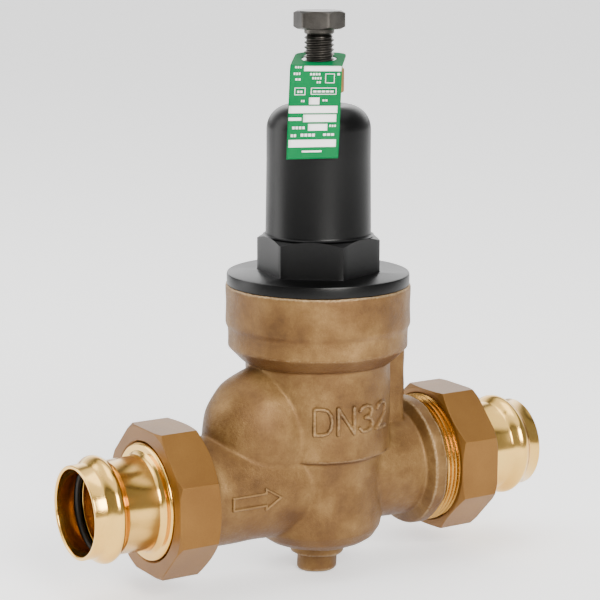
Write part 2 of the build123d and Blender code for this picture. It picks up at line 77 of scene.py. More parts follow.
def placeCamera(c):
    # back points from the valve to the camera, right and up span the picture, and the roll turns both
    a, e, r = (radians(c[k]) for k in ("azimuth", "elevation", "roll"))
    back = np.array([sin(a) * cos(e), -cos(a) * cos(e), sin(e)])
    right = np.array([cos(a), sin(a), 0.0])
    up = np.cross(back, right)
    rightTurned, upTurned = cos(r) * right + sin(r) * up, -sin(r) * right + cos(r) * up
    spot = (back * c["distance"] + rightTurned * c["across"] + upTurned * c["up"]) * mm
    lens = bpy.data.cameras.new("valveCamera")
    lens.lens, lens.sensor_width = c["lens"], 36
    lens.clip_start, lens.clip_end = 0.01, 100
    stand = bpy.data.objects.new("valveCamera", lens)
    turned = np.eye(4)
    turned[:3, 0], turned[:3, 1], turned[:3, 2], turned[:3, 3] = rightTurned, upTurned, back, spot
    stand.matrix_world = Matrix(turned.tolist())
    bpy.context.scene.collection.objects.link(stand)
    bpy.context.scene.camera = stand


softLights = {  # where each soft light stands, in metres, its width and height, power and colour
    "frontLight": ((-0.2, -1.5, 0.8), (0.8, 0.7), 46, (1.0, 0.985, 0.95)),
    "leftStrip": ((-1.0, 0.85, 0.55), (0.7, 1.3), 14, (1.0, 0.99, 0.98)),
    "topLight": ((-0.15, 0.1, 1.7), (1.2, 1.0), 11, (1, 1, 1)),
}


def placeLights(lights, aim=(0, 0, 0.07)):
    # back points from the aim to the light, whose own -Z looks along it
    for name, (spot, size, power, tint) in lights.items():
        lamp = bpy.data.lights.new(name, "AREA")
        lamp.shape, lamp.size, lamp.size_y = "RECTANGLE", size[0], size[1]
        lamp.energy, lamp.color = power, tint
        stand = bpy.data.objects.new(name, lamp)
        back = np.array(spot, float) - aim
        back /= np.linalg.norm(back)
        right = np.cross((0, 0, 1), back)
        right /= np.linalg.norm(right)
        turned = np.eye(4)
        turned[:3, 0], turned[:3, 1], turned[:3, 2] = right, np.cross(back, right), back
        turned[:3, 3] = spot
        stand.matrix_world = Matrix(turned.tolist())
        bpy.context.scene.collection.objects.link(stand)


placeCamera(camera)
placeLights(softLights)


# nodes
class Wire:
    # a node's output, so that sums, products and masks can be written as plain expressions
    def __init__(self, board, socket):
        self.board, self.socket = board, socket

    def maths(self, operation, *values):
        sockets = dict(enumerate(values))
        return self.board.node("ShaderNodeMath", {"operation": operation}, sockets)

    def __add__(self, other):
        return self.maths("ADD", self, other)

    def __sub__(self, other):
        return self.maths("SUBTRACT", self, other)

    def __rsub__(self, other):
        return self.maths("SUBTRACT", other, self)

    def __mul__(self, other):
        return self.maths("MULTIPLY", self, other)

    __radd__ = __add__
    __rmul__ = __mul__

    def between(self, low, high):
        # 0 below low, 1 above high and a straight rise between them
        return self.board.node("ShaderNodeMapRange", {}, {0: self, 1: low, 2: high})


class Board:
    # a node tree: every node is made by one method, its settings first and then its sockets
    def __init__(self, tree):
        self.tree = tree

    def node(self, kind, settings={}, sockets={}, out=0):
        made = self.tree.nodes.new(kind)
        for key, value in settings.items():
            if key == "stops":
                self.setStops(made.color_ramp, value)
            else:
                setattr(made, key, value)
        for key, value in sockets.items():
            if isinstance(value, Wire):
                self.tree.links.new(value.socket, made.inputs[key])
            else:
                made.inputs[key].default_value = value
        return Wire(self, made.outputs[out])

    def setStops(self, ramp, stops):
        while len(ramp.elements) < len(stops):
            ramp.elements.new(0.5)
        for element, (position, colour) in zip(ramp.elements, stops):
            element.position, element.color = position, (*colour, 1)


class Finish(Board):
    # one material: fixed numbers go straight on the shader, what varies is fed to it
    def __init__(self, name, fixed):
        self.material = bpy.data.materials.new(name)
        self.material.use_nodes = True
        super().__init__(self.material.node_tree)
        self.shader = self.tree.nodes["Principled BSDF"]
        for key, value in fixed.items():
            self.shader.inputs[key].default_value = value
        self.place = self.node("ShaderNodeTexCoord", out="Object")

    def feed(self, **sockets):
        names = {"colour": "Base Color", "roughness": "Roughness", "normal": "Normal"}
        for key, wire in sockets.items():
            self.tree.links.new(wire.socket, self.shader.inputs[names[key]])

    def noise(self, size, detail, rough):
        # size is the width of a patch in millimetres
        return self.node("ShaderNodeTexNoise", {}, {
            "Vector": self.place, "Scale": 1 / (size * mm), "Detail": detail, "Roughness": rough,
        })

    def ramp(self, wire, stops):
        # the colour at the wire's value, from stops of (position, colour)
        return self.node("ShaderNodeValToRGB", {"stops": stops}, {0: wire})

    def mix(self, factor, one, two):
        # 6 and 7 are the colours among the node's inputs, and 2 among its outputs
        return self.node("ShaderNodeMix", {"data_type": "RGBA"}, {0: factor, 6: one, 7: two}, 2)

    def bump(self, height, depth, strength=1.0):
        # depth is the relief in millimetres that a height of 1 stands for
        return self.node("ShaderNodeBump", {}, {
            "Strength": strength, "Distance": depth * mm, "Height": height,
        })


def fromScreen(red, green, blue):
    # a screen colour of 0 to 255, undone to linear light
    return tuple(float((v / 255) ** 2.2) for v in (red, green, blue))


def castBronze():
    # sand-cast bronze: mottled browns, paler on outer edges as wear and a painted highlight, with a painted
    # pale line in corners and painted shade where it faces down
    skin = Finish("castBronze", {"Metallic": 0.5, "Specular IOR Level": 0.4})
    patches = skin.noise(15, 5, 0.6)
    grain = skin.noise(1.1, 4, 0.65)
    speck = skin.noise(0.45, 2, 0.6)
    tone = patches * 0.74 + grain * 0.18 + speck * 0.12 - 0.02
    colour = skin.ramp(tone, [
        (0.34, fromScreen(82, 57, 29)), (0.46, fromScreen(99, 71, 38)),
        (0.56, fromScreen(112, 84, 48)), (0.70, fromScreen(136, 105, 65)),
    ])
    edge = skin.node("ShaderNodeAttribute", {"attribute_name": "edge"}, out="Fac")
    # outer edges: partly rubbed wear, partly a painted highlight on ridges
    edgeWearAndHighlight = (edge + grain * 0.2).between(0.67, 0.88)
    # corners and creases: a painted pale line standing in for the highlight along fillets
    corner = 1 - (edge + grain * 0.2).between(0.25, 0.50)
    # faces turned down: painted shade, a dark brown mixed in by how far the skin faces down
    under = skin.node("ShaderNodeAttribute", {"attribute_name": "under"}, out="Fac")
    colour = skin.mix(edgeWearAndHighlight * 0.5, colour, (*fromScreen(228, 202, 160), 1))
    colour = skin.mix(corner * 0.45, colour, (*fromScreen(178, 144, 98), 1))
    colour = skin.mix(under.between(0.1, 0.9) * 0.7, colour, (*fromScreen(76, 46, 18), 1))
    relief = grain * 0.6 + speck * 0.5 + patches * 0.5
    rough = grain.between(0.3, 0.75) * 0.2 + 0.42
    skin.feed(colour=colour, roughness=rough, normal=skin.bump(relief, 0.30, 0.75))
    return skin.material


def brushedMetal(name, fixed, dark, light, patchSize, grainSize, depth, rough):
    # a metal whose tint drifts between two colours, with a fine grain in its roughness and relief;
    # rough is the least roughness and what the grain adds to it
    skin = Finish(name, fixed)
    patches = skin.noise(patchSize, 3, 0.5)
    grain = skin.noise(grainSize, 3, 0.6)
    tone = patches * 0.7 + grain * 0.3
    colour = skin.ramp(tone, [(0.35, fromScreen(*dark)), (0.65, fromScreen(*light))])
    skin.feed(colour=colour, roughness=grain * rough[1] + rough[0], normal=skin.bump(grain, depth))
    return skin.material


def moulded(name, fixed, dark, light, depth, rough):
    # moulded plastic or rubber: an even colour with faint clouding and a fine skin
    skin = Finish(name, fixed)
    clouds = skin.noise(22, 3, 0.5)
    grain = skin.noise(0.5, 2, 0.5)
    colour = skin.ramp(clouds, [(0.35, fromScreen(*dark)), (0.7, fromScreen(*light))])
    rough = grain * 0.12 + clouds * 0.08 + rough
    skin.feed(colour=colour, roughness=rough, normal=skin.bump(grain, depth))
    return skin.material


finishes = {  # the two colours are a finish's darkest and lightest, as screen colours
    "cast_bronze": castBronze(),
    "union_nut_brass": brushedMetal(
        "unionNutBrass", {"Metallic": 0.6}, (104, 70, 27), (120, 84, 37), 26, 0.5, 0.05, (0.34, 0.14)),
    "press_end_brass": brushedMetal(
        "pressEndBrass", {"Metallic": 1.0}, (216, 168, 84), (228, 184, 102), 30, 0.9, 0.006, (0.15, 0.07)),
    "machined_brass": brushedMetal(
        "machinedBrass", {"Metallic": 1.0}, (172, 126, 62), (190, 146, 78), 18, 0.6, 0.02, (0.20, 0.12)),
    "lock_nut_brass": brushedMetal(
        "lockNutBrass", {"Metallic": 0.9}, (132, 98, 62), (160, 122, 80), 6, 0.4, 0.03, (0.30, 0.16)),
    "bolt_steel": brushedMetal(
        "boltSteel", {"Metallic": 0.95}, (56, 54, 51), (80, 77, 73), 7, 0.4, 0.03, (0.24, 0.16)),
    "spring_steel": brushedMetal(
        "springSteel", {"Metallic": 1.0}, (120, 120, 122), (150, 150, 152), 8, 0.4, 0.02, (0.28, 0.16)),
    "screen_steel": brushedMetal(
        "screenSteel", {"Metallic": 1.0}, (172, 172, 174), (198, 198, 200), 8, 0.3, 0.01, (0.22, 0.12)),
    "cage_plastic": moulded(
        "cagePlastic", {"Specular IOR Level": 0.2}, (4, 4, 4), (8, 8, 8), 0.03, 0.24),
    "moulded_grey": moulded("mouldedGrey", {}, (186, 186, 180), (202, 202, 196), 0.02, 0.35),
    "black_rubber": moulded("blackRubber", {}, (24, 24, 24), (34, 34, 34), 0.02, 0.42),
    "tag_green": moulded("tagGreen", {"Specular IOR Level": 0.02}, (0, 98, 56), (0, 105, 61), 0.01, 0.4),
}
for subpart in frame["record"]["subparts"]:
    node = frame["nodes"][subpart["node"]]
    for slot in node.material_slots:
        slot.material = finishes[subpart["material_slot"]]
print("finishes:", len(finishes))


# floor and surroundings
def pale(name, colour, glow):
    # an even, matt finish that also gives off a little white light
    return Finish(name, {
        "Base Color": (*colour, 1), "Roughness": 0.9, "Specular IOR Level": 0.1,
        "Emission Color": (1, 1, 1, 1), "Emission Strength": glow,
    }).material


def layFloor(height, reach, sides=96):
    # a round sheet: a triangle from each side of one ring to the middle, in metres
    angle = np.linspace(0, fullTurn, sides + 1)[:-1]
    ring = np.stack([np.cos(angle), np.sin(angle), np.zeros(sides)], -1) * reach
    points = np.vstack([ring, [[0, 0, 0]]]) + (0, 0, height)
    around = np.arange(sides)
    faces = np.stack([around, (around + 1) % sides, np.full(sides, sides)], -1)
    mesh = bpy.data.meshes.new("floor")
    mesh.from_pydata(points.tolist(), [], faces.tolist())
    mesh.materials.append(pale("paleFloor", (0.93, 0.93, 0.93), 0.55))
    floor = bpy.data.objects.new("floor", mesh)
    bpy.context.scene.collection.objects.link(floor)


layFloor(cadBox[0][2] - 0.4 * mm, 30)


def softRoom(strength, bands, behind):
    # brightness by height: each band is the sine of the angle above the horizon, and a grey;
    # a wide pale patch low behind the valve brightens what faces up
    room = bpy.data.worlds.new("studio")
    room.use_nodes = True
    board = Board(room.node_tree)
    direction = board.node("ShaderNodeTexCoord", out="Generated")
    height = board.node("ShaderNodeSeparateXYZ", {}, {0: direction}, "Z")
    tint = board.node("ShaderNodeValToRGB", {"stops": [(s, (g, g, g)) for s, g in bands]}, {0: height})
    a = radians(camera["azimuth"])
    away = (-sin(a), cos(a), 0)
    back = board.node("ShaderNodeVectorMath", {"operation": "DOT_PRODUCT"}, {0: direction, 1: away}, "Value")
    patch = back.between(0.6, 0.95) * height.between(0.04, 0.12) * (1 - height.between(0.45, 0.6))
    shade = room.node_tree.nodes["Background"]
    shade.inputs["Strength"].default_value = strength
    room.node_tree.links.new((patch * behind + tint).socket, shade.inputs["Color"])
    bpy.context.scene.world = room


softRoom(2.2, [
    (0.0, 0.02), (0.03, 0.02), (0.05, 0.17), (0.59, 0.17),
    (0.615, 0.02), (0.66, 0.02), (0.78, 0.85), (1.0, 1.0),
], 1.5)


# mesh tools
def newPiece(name, points, faces, body, slot, replaces=(), sharpAngle=32):
    # points in millimetres; merging doubles closes seams and poles, then all faces are turned outwards
    mesh = bpy.data.meshes.new(name)
    mesh.from_pydata((np.asarray(points) * mm).tolist(), [], np.asarray(faces).tolist())
    work = bmesh.new()
    work.from_mesh(mesh)
    bmesh.ops.remove_doubles(work, verts=work.verts, dist=2e-6)
    bmesh.ops.dissolve_degenerate(work, edges=work.edges, dist=1e-6)
    bmesh.ops.recalc_face_normals(work, faces=work.faces)
    work.to_mesh(mesh)
    work.free()
    mesh.shade_smooth()
    mesh.set_sharp_from_angle(angle=radians(sharpAngle))
    mesh.materials.append(finishes[slot])
    piece = bpy.data.objects.new(name, mesh)
    bpy.context.scene.collection.objects.link(piece)
    if body:
        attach(piece, body)
    if replaces:
        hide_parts(*replaces)
    return piece


def softenEdges(piece, width):
    # rounds every edge that turns by more than 24 degrees
    bevel = piece.modifiers.new("softEdges", "BEVEL")
    bevel.width, bevel.segments = width * mm, 2
    bevel.limit_method, bevel.angle_limit = "ANGLE", radians(24)
    bevel.harden_normals = False


def gridFaces(rows, columns, closeRows=False, closeColumns=False):
    # one quad between each pair of rows and columns
    r = np.arange(rows if closeRows else rows - 1)
    c = np.arange(columns if closeColumns else columns - 1)
    r, c = np.meshgrid(r, c, indexing="ij")
    nextR, nextC = (r + 1) % rows, (c + 1) % columns
    corners = [r * columns + c, r * columns + nextC, nextR * columns + nextC, nextR * columns + c]
    return np.stack(corners, -1).reshape(-1, 4)


def upright(along, radius, angle):
    # about the upright axis: x and y from the radius and angle, z along
    return np.stack([radius * np.cos(angle), radius * np.sin(angle), along + 0 * angle], -1)


def onRun(sign):
    # about the pipe's axis, outwards to the inlet (-1) or the outlet (+1), and turned with the sign
    # so that threads stay right-handed
    def place(along, radius, angle):
        across = sign * radius * np.cos(angle)
        return np.stack([sign * along + 0 * angle, across, radius * np.sin(angle)], -1)
    return place


def roundCorners(corners, steps=4):
    # each corner (along, radius, rounding) of a closed outline becomes a quadratic curve that starts and
    # stops the rounding's distance away, or 0.48 of a side if that is less
    c = np.array(corners, float)
    p, reach = c[:, :2], c[:, 2:]
    before, after = np.roll(p, 1, 0) - p, np.roll(p, -1, 0) - p
    longBefore = np.linalg.norm(before, axis=1, keepdims=True)
    longAfter = np.linalg.norm(after, axis=1, keepdims=True)
    start = p + before / longBefore * np.minimum(reach, 0.48 * longBefore)
    stop = p + after / longAfter * np.minimum(reach, 0.48 * longAfter)
    t = np.linspace(0, 1, steps + 1)[None, :, None]
    curve = (1 - t) ** 2 * start[:, None] + 2 * t * (1 - t) * p[:, None] + t ** 2 * stop[:, None]
    return curve.reshape(-1, 2)


def turned(name, outline, place, body, slot, replaces=(), columns=96):
    # the closed outline of (along, radius) rows carried round the axis
    angle = np.linspace(0, fullTurn, columns + 1)[None, :-1]
    along, radius = outline[:, :1], outline[:, 1:]
    points = place(along + 0 * angle, radius + 0 * angle, angle + 0 * radius).reshape(-1, 3)
    newPiece(name, points, gridFaces(len(outline), columns, True, True), body, slot, replaces)


def prismRadius(angle, sides, apothem, corner):
    # distance to a regular polygon's side in each direction; corner is the direction of one corner
    step = fullTurn / sides
    return apothem / np.cos((angle - corner) % step - step / 2)


def prismRows(rows, angle):
    # rows of (along, radius), each a number or an array over the angles, stacked into one grid
    full = [(along + 0 * angle, radius + 0 * angle) for along, radius in rows]
    return np.array([f[0] for f in full]), np.array([f[1] for f in full])


def prism(name, rows, angle, place, body, slot, replaces=()):
    # closed rows carried round the axis, with a radius of their own in each direction
    along, radius = prismRows(rows, angle)
    points = place(along, radius, angle[None, :] + 0 * radius).reshape(-1, 3)
    return newPiece(name, points, gridFaces(len(rows), len(angle), True, True), body, slot, replaces)


def threadGrid(low, high, crest, root, pitch, endRadius, columns=96):
    # a screw's surface: each row climbs one pitch in a turn, its radius steps between crest and root,
    # rows are cut off at both ends, and a 45 degree cone brings the ends down to endRadius
    shape = np.array([1, 1, 0.66, 0.33, 0, 0, 0.33, 0.66])
    perPitch = len(shape)
    i = np.arange(-perPitch, ceil((high - low) / pitch) * perPitch + 1)[:, None]
    j = np.arange(columns + 1)[None, :]
    along = np.clip(low + (i / perPitch + j / columns) * pitch, low, high)
    radius = root + (crest - root) * shape[i % perPitch] + 0 * along
    radius = np.minimum(radius, endRadius + np.minimum(along - low, high - along))
    return along, radius, j / columns * fullTurn + 0 * along


# body casting
bodyCasting = {
    "cell": 1.0, "cellQuick": 1.8,           # grid spacing of the skin
    "legBlend": 0.9, "hoodBlend": 0.9, "webBlend": 0.9,
    "hood": (-26.0, 22.0, 27.5, 22.0, 28.0),  # centre x and z, half-sizes along x, y and z
    "web": (20.0, 38.3, 10.0, 2.0, 12.0, 60.0),  # x from, x to, half-width, corner rounding, z from, z to
    "unevenness": 0.10,
    "waterway": 15.9, "inletTo": -32.0, "outletFrom": 24.5, "throatTop": 5.5,
    "room": (-29.5, 26.5, 18.3),             # centre x and z, and radius
    "divider": (32.0, 15.5),                 # half-sizes along x and z
}
uprightOutline = [  # closed outlines of (along, radius): the outside, the stepped bore and each leg
    (82.5, -20), (82.5, 38.65), (66.0, 38.65), (64.2, 37.8), (56.5, 37.8), (51, 32.3), (50, 30.45),
    (12.5, 30.45), (11, 27.8), (-16.8, 27.8), (-21.4, 26.9), (-25.3, 24.3), (-27.9, 20.4), (-28.8, 15.8),
    (-28.8, 11.4), (-34, 11.4), (-34, 8.5), (-41.2, 8.5), (-41.2, -20),
]
boreOutline = [
    (90, -20), (90, 34.4), (66.2, 34.4), (66.2, 28), (56, 28), (56, 26), (46, 26), (46, 25.2), (14, 25.2),
    (14, 20), (6, 20), (6, 23.8), (-14, 23.8), (-22, 15.8), (-22, -20),
]
legOutline = {
    sign: [
        (-10, -20), (-10, 22.9), (collar - 2, 22.9), (collar, 27.9), (thread, 27.9),
        (thread, 26.2), (face, 26.2), (face, -20),
    ]
    for sign, collar, thread, face in ((1, 42.8, 48.3, 65.5), (-1, 62.6, 63.2, 74.6))
}


def outlineTable(outline, low, high, wide, soften, step=0.25):
    # signed distance from every point of a fine (along, radius) grid to the outline, negative inside it,
    # blurred so that corners come out round
    along = np.arange(low, high, step)
    radius = np.arange(0, wide, step)
    a, r = np.meshgrid(along, radius, indexing="ij")
    nearest, inside = np.full(a.shape, 1e9), np.zeros(a.shape, bool)
    ends = np.array(outline, float)
    for (a0, r0), (a1, r1) in zip(ends, np.roll(ends, -1, 0)):
        da, dr = a1 - a0, r1 - r0
        share = np.clip(((a - a0) * da + (r - r0) * dr) / (da * da + dr * dr), 0, 1)
        nearest = np.minimum(nearest, (a - a0 - da * share) ** 2 + (r - r0 - dr * share) ** 2)
        if dr:
            inside ^= ((r0 > r) != (r1 > r)) & (a < a0 + da * (r - r0) / dr)
    table = np.sqrt(nearest) * np.where(inside, -1, 1)
    for _ in range(soften):  # each pass is a 1-2-1 average both ways
        for axis in (0, 1):
            margins = [(1, 1) if axis == n else (0, 0) for n in (0, 1)]
            padded = np.pad(table, margins, mode="reflect", reflect_type="odd")
            before = np.take(padded, range(table.shape[axis]), axis)
            after = np.take(padded, range(2, table.shape[axis] + 2), axis)
            table = (before + 2 * table + after) / 4

    def look(alongAt, radiusAt):
        # the table's value between its four nearest points
        i = np.clip((alongAt - low) / step, 0, table.shape[0] - 1.001)
        j = np.clip(radiusAt / step, 0, table.shape[1] - 1.001)
        i0, j0 = i.astype(np.int32), j.astype(np.int32)
        fi, fj = i - i0, j - j0
        flat = table.ravel()
        k = i0 * table.shape[1] + j0
        under = flat[k] * (1 - fj) + flat[k + 1] * fj
        over = flat[k + table.shape[1]] * (1 - fj) + flat[k + table.shape[1] + 1] * fj
        return under * (1 - fi) + over * fi
    return look


def joined(one, two, blend):
    # the nearer of two distances, with a fillet of about the blend's size where they meet
    overlap = np.maximum(blend - np.abs(one - two), 0) / blend
    return np.minimum(one, two) - overlap ** 2 * blend / 4


def castingField(spec):
    # the casting as one distance: its outer shapes joined, and then the hollow taken away
    outside = outlineTable(uprightOutline, -50, 95, 70, 5)
    bore = outlineTable(boreOutline, -50, 95, 70, 1)
    legs = {sign: outlineTable(legOutline[sign], -40, 95, 50, 3) for sign in (1, -1)}
    hoodX, hoodZ, hoodA, hoodB, hoodC = spec["hood"]
    webFrom, webTo, webHalf, webRound, webLow, webHigh = spec["web"]
    roomX, roomZ, roomRadius = spec["room"]
    dividerX, dividerZ = spec["divider"]

    def field(x, y, z):
        # distance to the casting's skin: negative in the metal
        fromUpright, fromPipe = np.hypot(x, y), np.hypot(y, z)
        skin = outside(z, fromUpright)
        for sign in (1, -1):
            skin = joined(skin, legs[sign](sign * x, fromPipe), spec["legBlend"])
        # the hood is an ellipsoid, whose scaled distance is measured in its smallest half-size
        scaled = np.sqrt(((x - hoodX) / hoodA) ** 2 + (y / hoodB) ** 2 + ((z - hoodZ) / hoodC) ** 2)
        skin = joined(skin, (scaled - 1) * hoodB * np.clip(scaled, 0.5, 1), spec["hoodBlend"])
        boxX = np.abs(x - (webFrom + webTo) / 2) - (webTo - webFrom) / 2 + webRound
        boxY = np.abs(y) - webHalf + webRound
        boxZ = np.abs(z - (webLow + webHigh) / 2) - (webHigh - webLow) / 2
        corner = np.hypot(np.maximum(boxX, 0), np.maximum(boxY, 0))
        box = corner + np.minimum(np.maximum(boxX, boxY), 0) - webRound
        skin = joined(skin, np.maximum(box, boxZ), spec["webBlend"])
        # sand-cast skin: waves 14 to 31 mm long
        waves = np.sin(x * 0.41 + 1) * np.sin(y * 0.37 + 2) + np.sin(z * 0.45 + x * 0.2)
        skin = skin + spec["unevenness"] * waves
        # the hollow: stepped bore, inlet bore, outlet bore and its throat, and the inlet's room under
        # the hood, which stops at the divider
        inner = bore(z, fromUpright)
        pipe = fromPipe - spec["waterway"]
        inner = np.minimum(inner, np.maximum(pipe, x - spec["inletTo"]))
        inner = np.minimum(inner, np.maximum(pipe, spec["outletFrom"] - x))
        inner = np.minimum(inner, np.maximum(np.maximum(pipe, -x), z - spec["throatTop"]))
        room = np.sqrt((x - roomX) ** 2 + y ** 2 + (z - roomZ) ** 2) - roomRadius
        divider = np.maximum(np.abs(x) - dividerX, np.abs(z) - dividerZ)
        inner = np.minimum(inner, np.maximum(room, -divider))
        return np.maximum(skin, -inner)
    return field


def surfaceNet(field, low, high, cell):
    # one point in each cell that the skin crosses, at the mean of its crossed edges, and one quad for
    # each such edge, then each point slides down the field's slope onto the skin
    axes = [np.arange(low[k], high[k] + cell, cell) for k in range(3)]
    shape = tuple(len(a) for a in axes)
    grid = field(*np.meshgrid(*axes, indexing="ij")).astype(np.float32)
    total = shape[0] * shape[1] * shape[2]
    strides = np.array([shape[1] * shape[2], shape[2], 1])
    count, place, edges = np.zeros(total), np.zeros((3, total)), []
    for axis in range(3):
        before = np.take(grid, range(shape[axis] - 1), axis)
        after = np.take(grid, range(1, shape[axis]), axis)
        at = np.nonzero((before < 0) != (after < 0))
        share = before[at] / (before[at] - after[at])
        spots = [axes[k][at[k]] + (share * cell if k == axis else 0) for k in range(3)]
        home = sum(at[k] * strides[k] for k in range(3))
        one, two = (strides[k] for k in range(3) if k != axis)
        cells = [home, home - one, home - one - two, home - two]
        for near in cells:
            count += np.bincount(near, minlength=total)
            for k in range(3):
                place[k] += np.bincount(near, spots[k], minlength=total)
        quads = np.stack(cells, -1)
        leaving = (before[at] < 0) != (axis == 1)
        edges.append(np.where(leaving[:, None], quads, quads[:, ::-1]))
    used = np.nonzero(count)[0]
    number = np.full(total, -1)
    number[used] = np.arange(len(used))
    points = (place[:, used] / count[used]).T
    nudge = 0.2
    for k in range(3):
        value = field(*points.T)
        slope = np.stack([
            field(*(points + nudge * step).T) - field(*(points - nudge * step).T) for step in np.eye(3)
        ], -1) / (2 * nudge)
        move = value[:, None] * slope / np.maximum((slope ** 2).sum(1, keepdims=True), 0.2)
        points = points - np.clip(move, -0.5 * cell, 0.5 * cell)
    return points, number[np.vstack(edges)]


def edgeShare(field, points, reach):
    # how far the skin bends: above 0.5 on outer edges and below it in corners, from the mean of six
    # values a reach away less the value at the point
    around = sum(field(*(points + side * reach * step).T) for step in np.eye(3) for side in (1, -1))
    return np.clip(0.5 + (around / 6 - field(*points.T)) / reach * 0.9, 0, 1)


def markSkin(piece, share):
    # keeps how exposed each point of the skin is, from a rule on points in millimetres, which the bronze
    # paints as paler edges (wear and painted highlight) and a painted pale line in corners, and how far it
    # faces down, which the bronze darkens as painted shade
    spots, normals = (np.empty(len(piece.data.vertices) * 3) for _ in range(2))
    piece.data.vertices.foreach_get("co", spots)
    piece.data.vertices.foreach_get("normal", normals)
    exposed, facingDown = share(spots.reshape(-1, 3) / mm), np.clip(-normals[2::3], 0, 1)
    for name, values in (("edge", exposed), ("under", facingDown)):
        kept = piece.data.attributes.new(name, "FLOAT", "POINT")
        kept.data.foreach_set("value", values.astype(np.float32))


castField = castingField(bodyCasting)
cell = bodyCasting["cell"]
castLow, castHigh = (-78, -42, -44), (69, 42, 85.5)
castPoints, castFaces = surfaceNet(castField, castLow, castHigh, cell)
casting = newPiece("bodyCasting", castPoints, castFaces, "valve_body", "cast_bronze", ("body",), 50)
markSkin(casting, lambda points: edgeShare(castField, points, 1.1))
print("casting:", len(casting.data.polygons), "quads")

# union threads on the body, nuts, press ends
union = {
    "threadStart": {"outlet": 48.3, "inlet": 63.2}, "threadEnd": 65.5,
    "crest": 27.6, "root": 26.5, "pitch": 2.0, "wall": 0.8,
    "nutStart": 54.5, "nutEnd": 73.3, "flats": 60.4, "sides": 8, "outerCone": 31.0, "innerCone": 30.2,
    "lip": 2.8, "bore": 27.65, "hole": 24.6, "edge": 0.6,
}
pressEnd = {
    "flangeLow": 67.5, "flangeHigh": 70.4, "flange": 27.2, "hub": 24.25, "hubEnd": 74.2, "tube": 19.2,
    "rim": 104.8, "bead": 22.0, "beadHalf": 3.8, "beadFromRim": 10.2, "runOut": 1.1,
    "socket": 17.6, "depth": 26.0, "waterway": 15.9, "groove": 20.6, "grooveHalf": 1.9, "ring": 1.5,
}


def unionThread(side, sign, extra):
    # a threaded sleeve: the screw's rows, then two rows inside it that close the sleeve
    u = union
    start, stop = u["threadStart"][side], u["threadEnd"] + extra
    along, radius, angle = threadGrid(start, stop, u["crest"], u["root"], u["pitch"], u["root"], 144)
    inner = np.array([[stop], [start]]) + 0 * along[:1]
    along = np.vstack([along, inner])
    radius = np.vstack([radius, 0 * inner + u["root"] - u["wall"]])
    angle = np.vstack([angle, angle[:2]])
    points, faces = onRun(sign)(along, radius, angle).reshape(-1, 3), gridFaces(*along.shape, True, False)
    newPiece(side + "UnionThread", points, faces, "valve_body", "machined_brass", (), 40)


def unionNut(side, sign, extra):
    # an eight-sided ring, its corners turned down by a cone at either end, with a lip for the flange
    u = union
    turn = pi / u["sides"]
    angle = turn + np.linspace(0, fullTurn, u["sides"] * 18 + 1)[:-1]
    wall = prismRadius(angle, u["sides"], u["flats"] / 2, turn)
    start, stop, edge = u["nutStart"] + extra, u["nutEnd"] + extra, u["edge"]
    innerCut, outerCut = wall - u["innerCone"] + 0.25, np.maximum(wall - u["outerCone"], 0.3)
    rows = [
        (start, u["bore"] + edge), (start, wall - innerCut), (start + innerCut * 0.573, wall),
        (stop - outerCut * 0.7, wall), (stop, wall - outerCut), (stop, u["hole"] + edge),
        (stop - edge, u["hole"]), (stop - u["lip"], u["hole"]), (stop - u["lip"], u["bore"]),
        (start + edge, u["bore"]),
    ]
    body, real = side + "_nut", side + "_union_nut"
    nut = prism(side + "UnionNut", rows, angle, onRun(sign), body, "union_nut_brass", (real,))
    softenEdges(nut, 0.45)


def pressTail(side, sign, extra):
    # a closed outline: the flange, a bead that swells by a cosine to the power 1.25, the rim, the socket
    # and the groove for its ring
    p = pressEnd
    flangeLow, flangeHigh, hubEnd = (p[k] + extra for k in ("flangeLow", "flangeHigh", "hubEnd"))
    flange, hub, tube, socket, waterway = (p[k] for k in ("flange", "hub", "tube", "socket", "waterway"))
    rim, half, groove = p["rim"] + extra, p["grooveHalf"], p["groove"]
    bead, back = rim - p["beadFromRim"], rim - p["depth"]
    swell = p["beadHalf"] + p["runOut"]
    sweep = np.linspace(-1, 1, 25)
    crown = np.cos(sweep * pi / 2) ** 1.25
    crest = np.stack([bead + sweep * swell, tube + (p["bead"] - tube) * crown], -1)
    before = roundCorners([
        (back, socket, 0.2), (back, waterway, 0.4), (flangeLow, waterway, 0.3), (flangeLow, flange, 0.3),
        (flangeHigh, flange, 0.4), (flangeHigh, hub, 0.1), (hubEnd, hub, 1.3), (hubEnd, tube + 1.8, 0.3),
        (hubEnd + 1.4, tube + 0.2, 1.2), (bead - swell, tube, 0),
    ], 5)
    after = roundCorners([
        (bead + swell, tube, 0), (rim, tube, 0.5), (rim, socket, 0.7), (bead + half, socket, 0.3),
        (bead + half, groove, 0.8), (bead - half, groove, 0.8), (bead - half, socket, 0.3),
        (back + 2, socket, 0),
    ], 4)
    outline = np.vstack([before[3:], crest, after[4:], before[:3]])
    body, place = side + "_tail", onRun(sign)
    turned(side + "Tailpiece", outline, place, body, "press_end_brass", (side + "_tailpiece",), 128)
    wheel = np.linspace(0, fullTurn, 33)[:-1]
    ring = p["ring"]
    seal = np.stack([bead + ring * np.cos(wheel), groove - ring - 0.02 + ring * np.sin(wheel)], -1)
    turned(side + "PressORing", seal, place, body, "black_rubber", (side + "_press_o_ring",))


for side, sign, extra in (("inlet", -1, 9.1), ("outlet", 1, 0.0)):
    unionThread(side, sign, extra)
    unionNut(side, sign, extra)
    pressTail(side, sign, extra)
print("unions done")

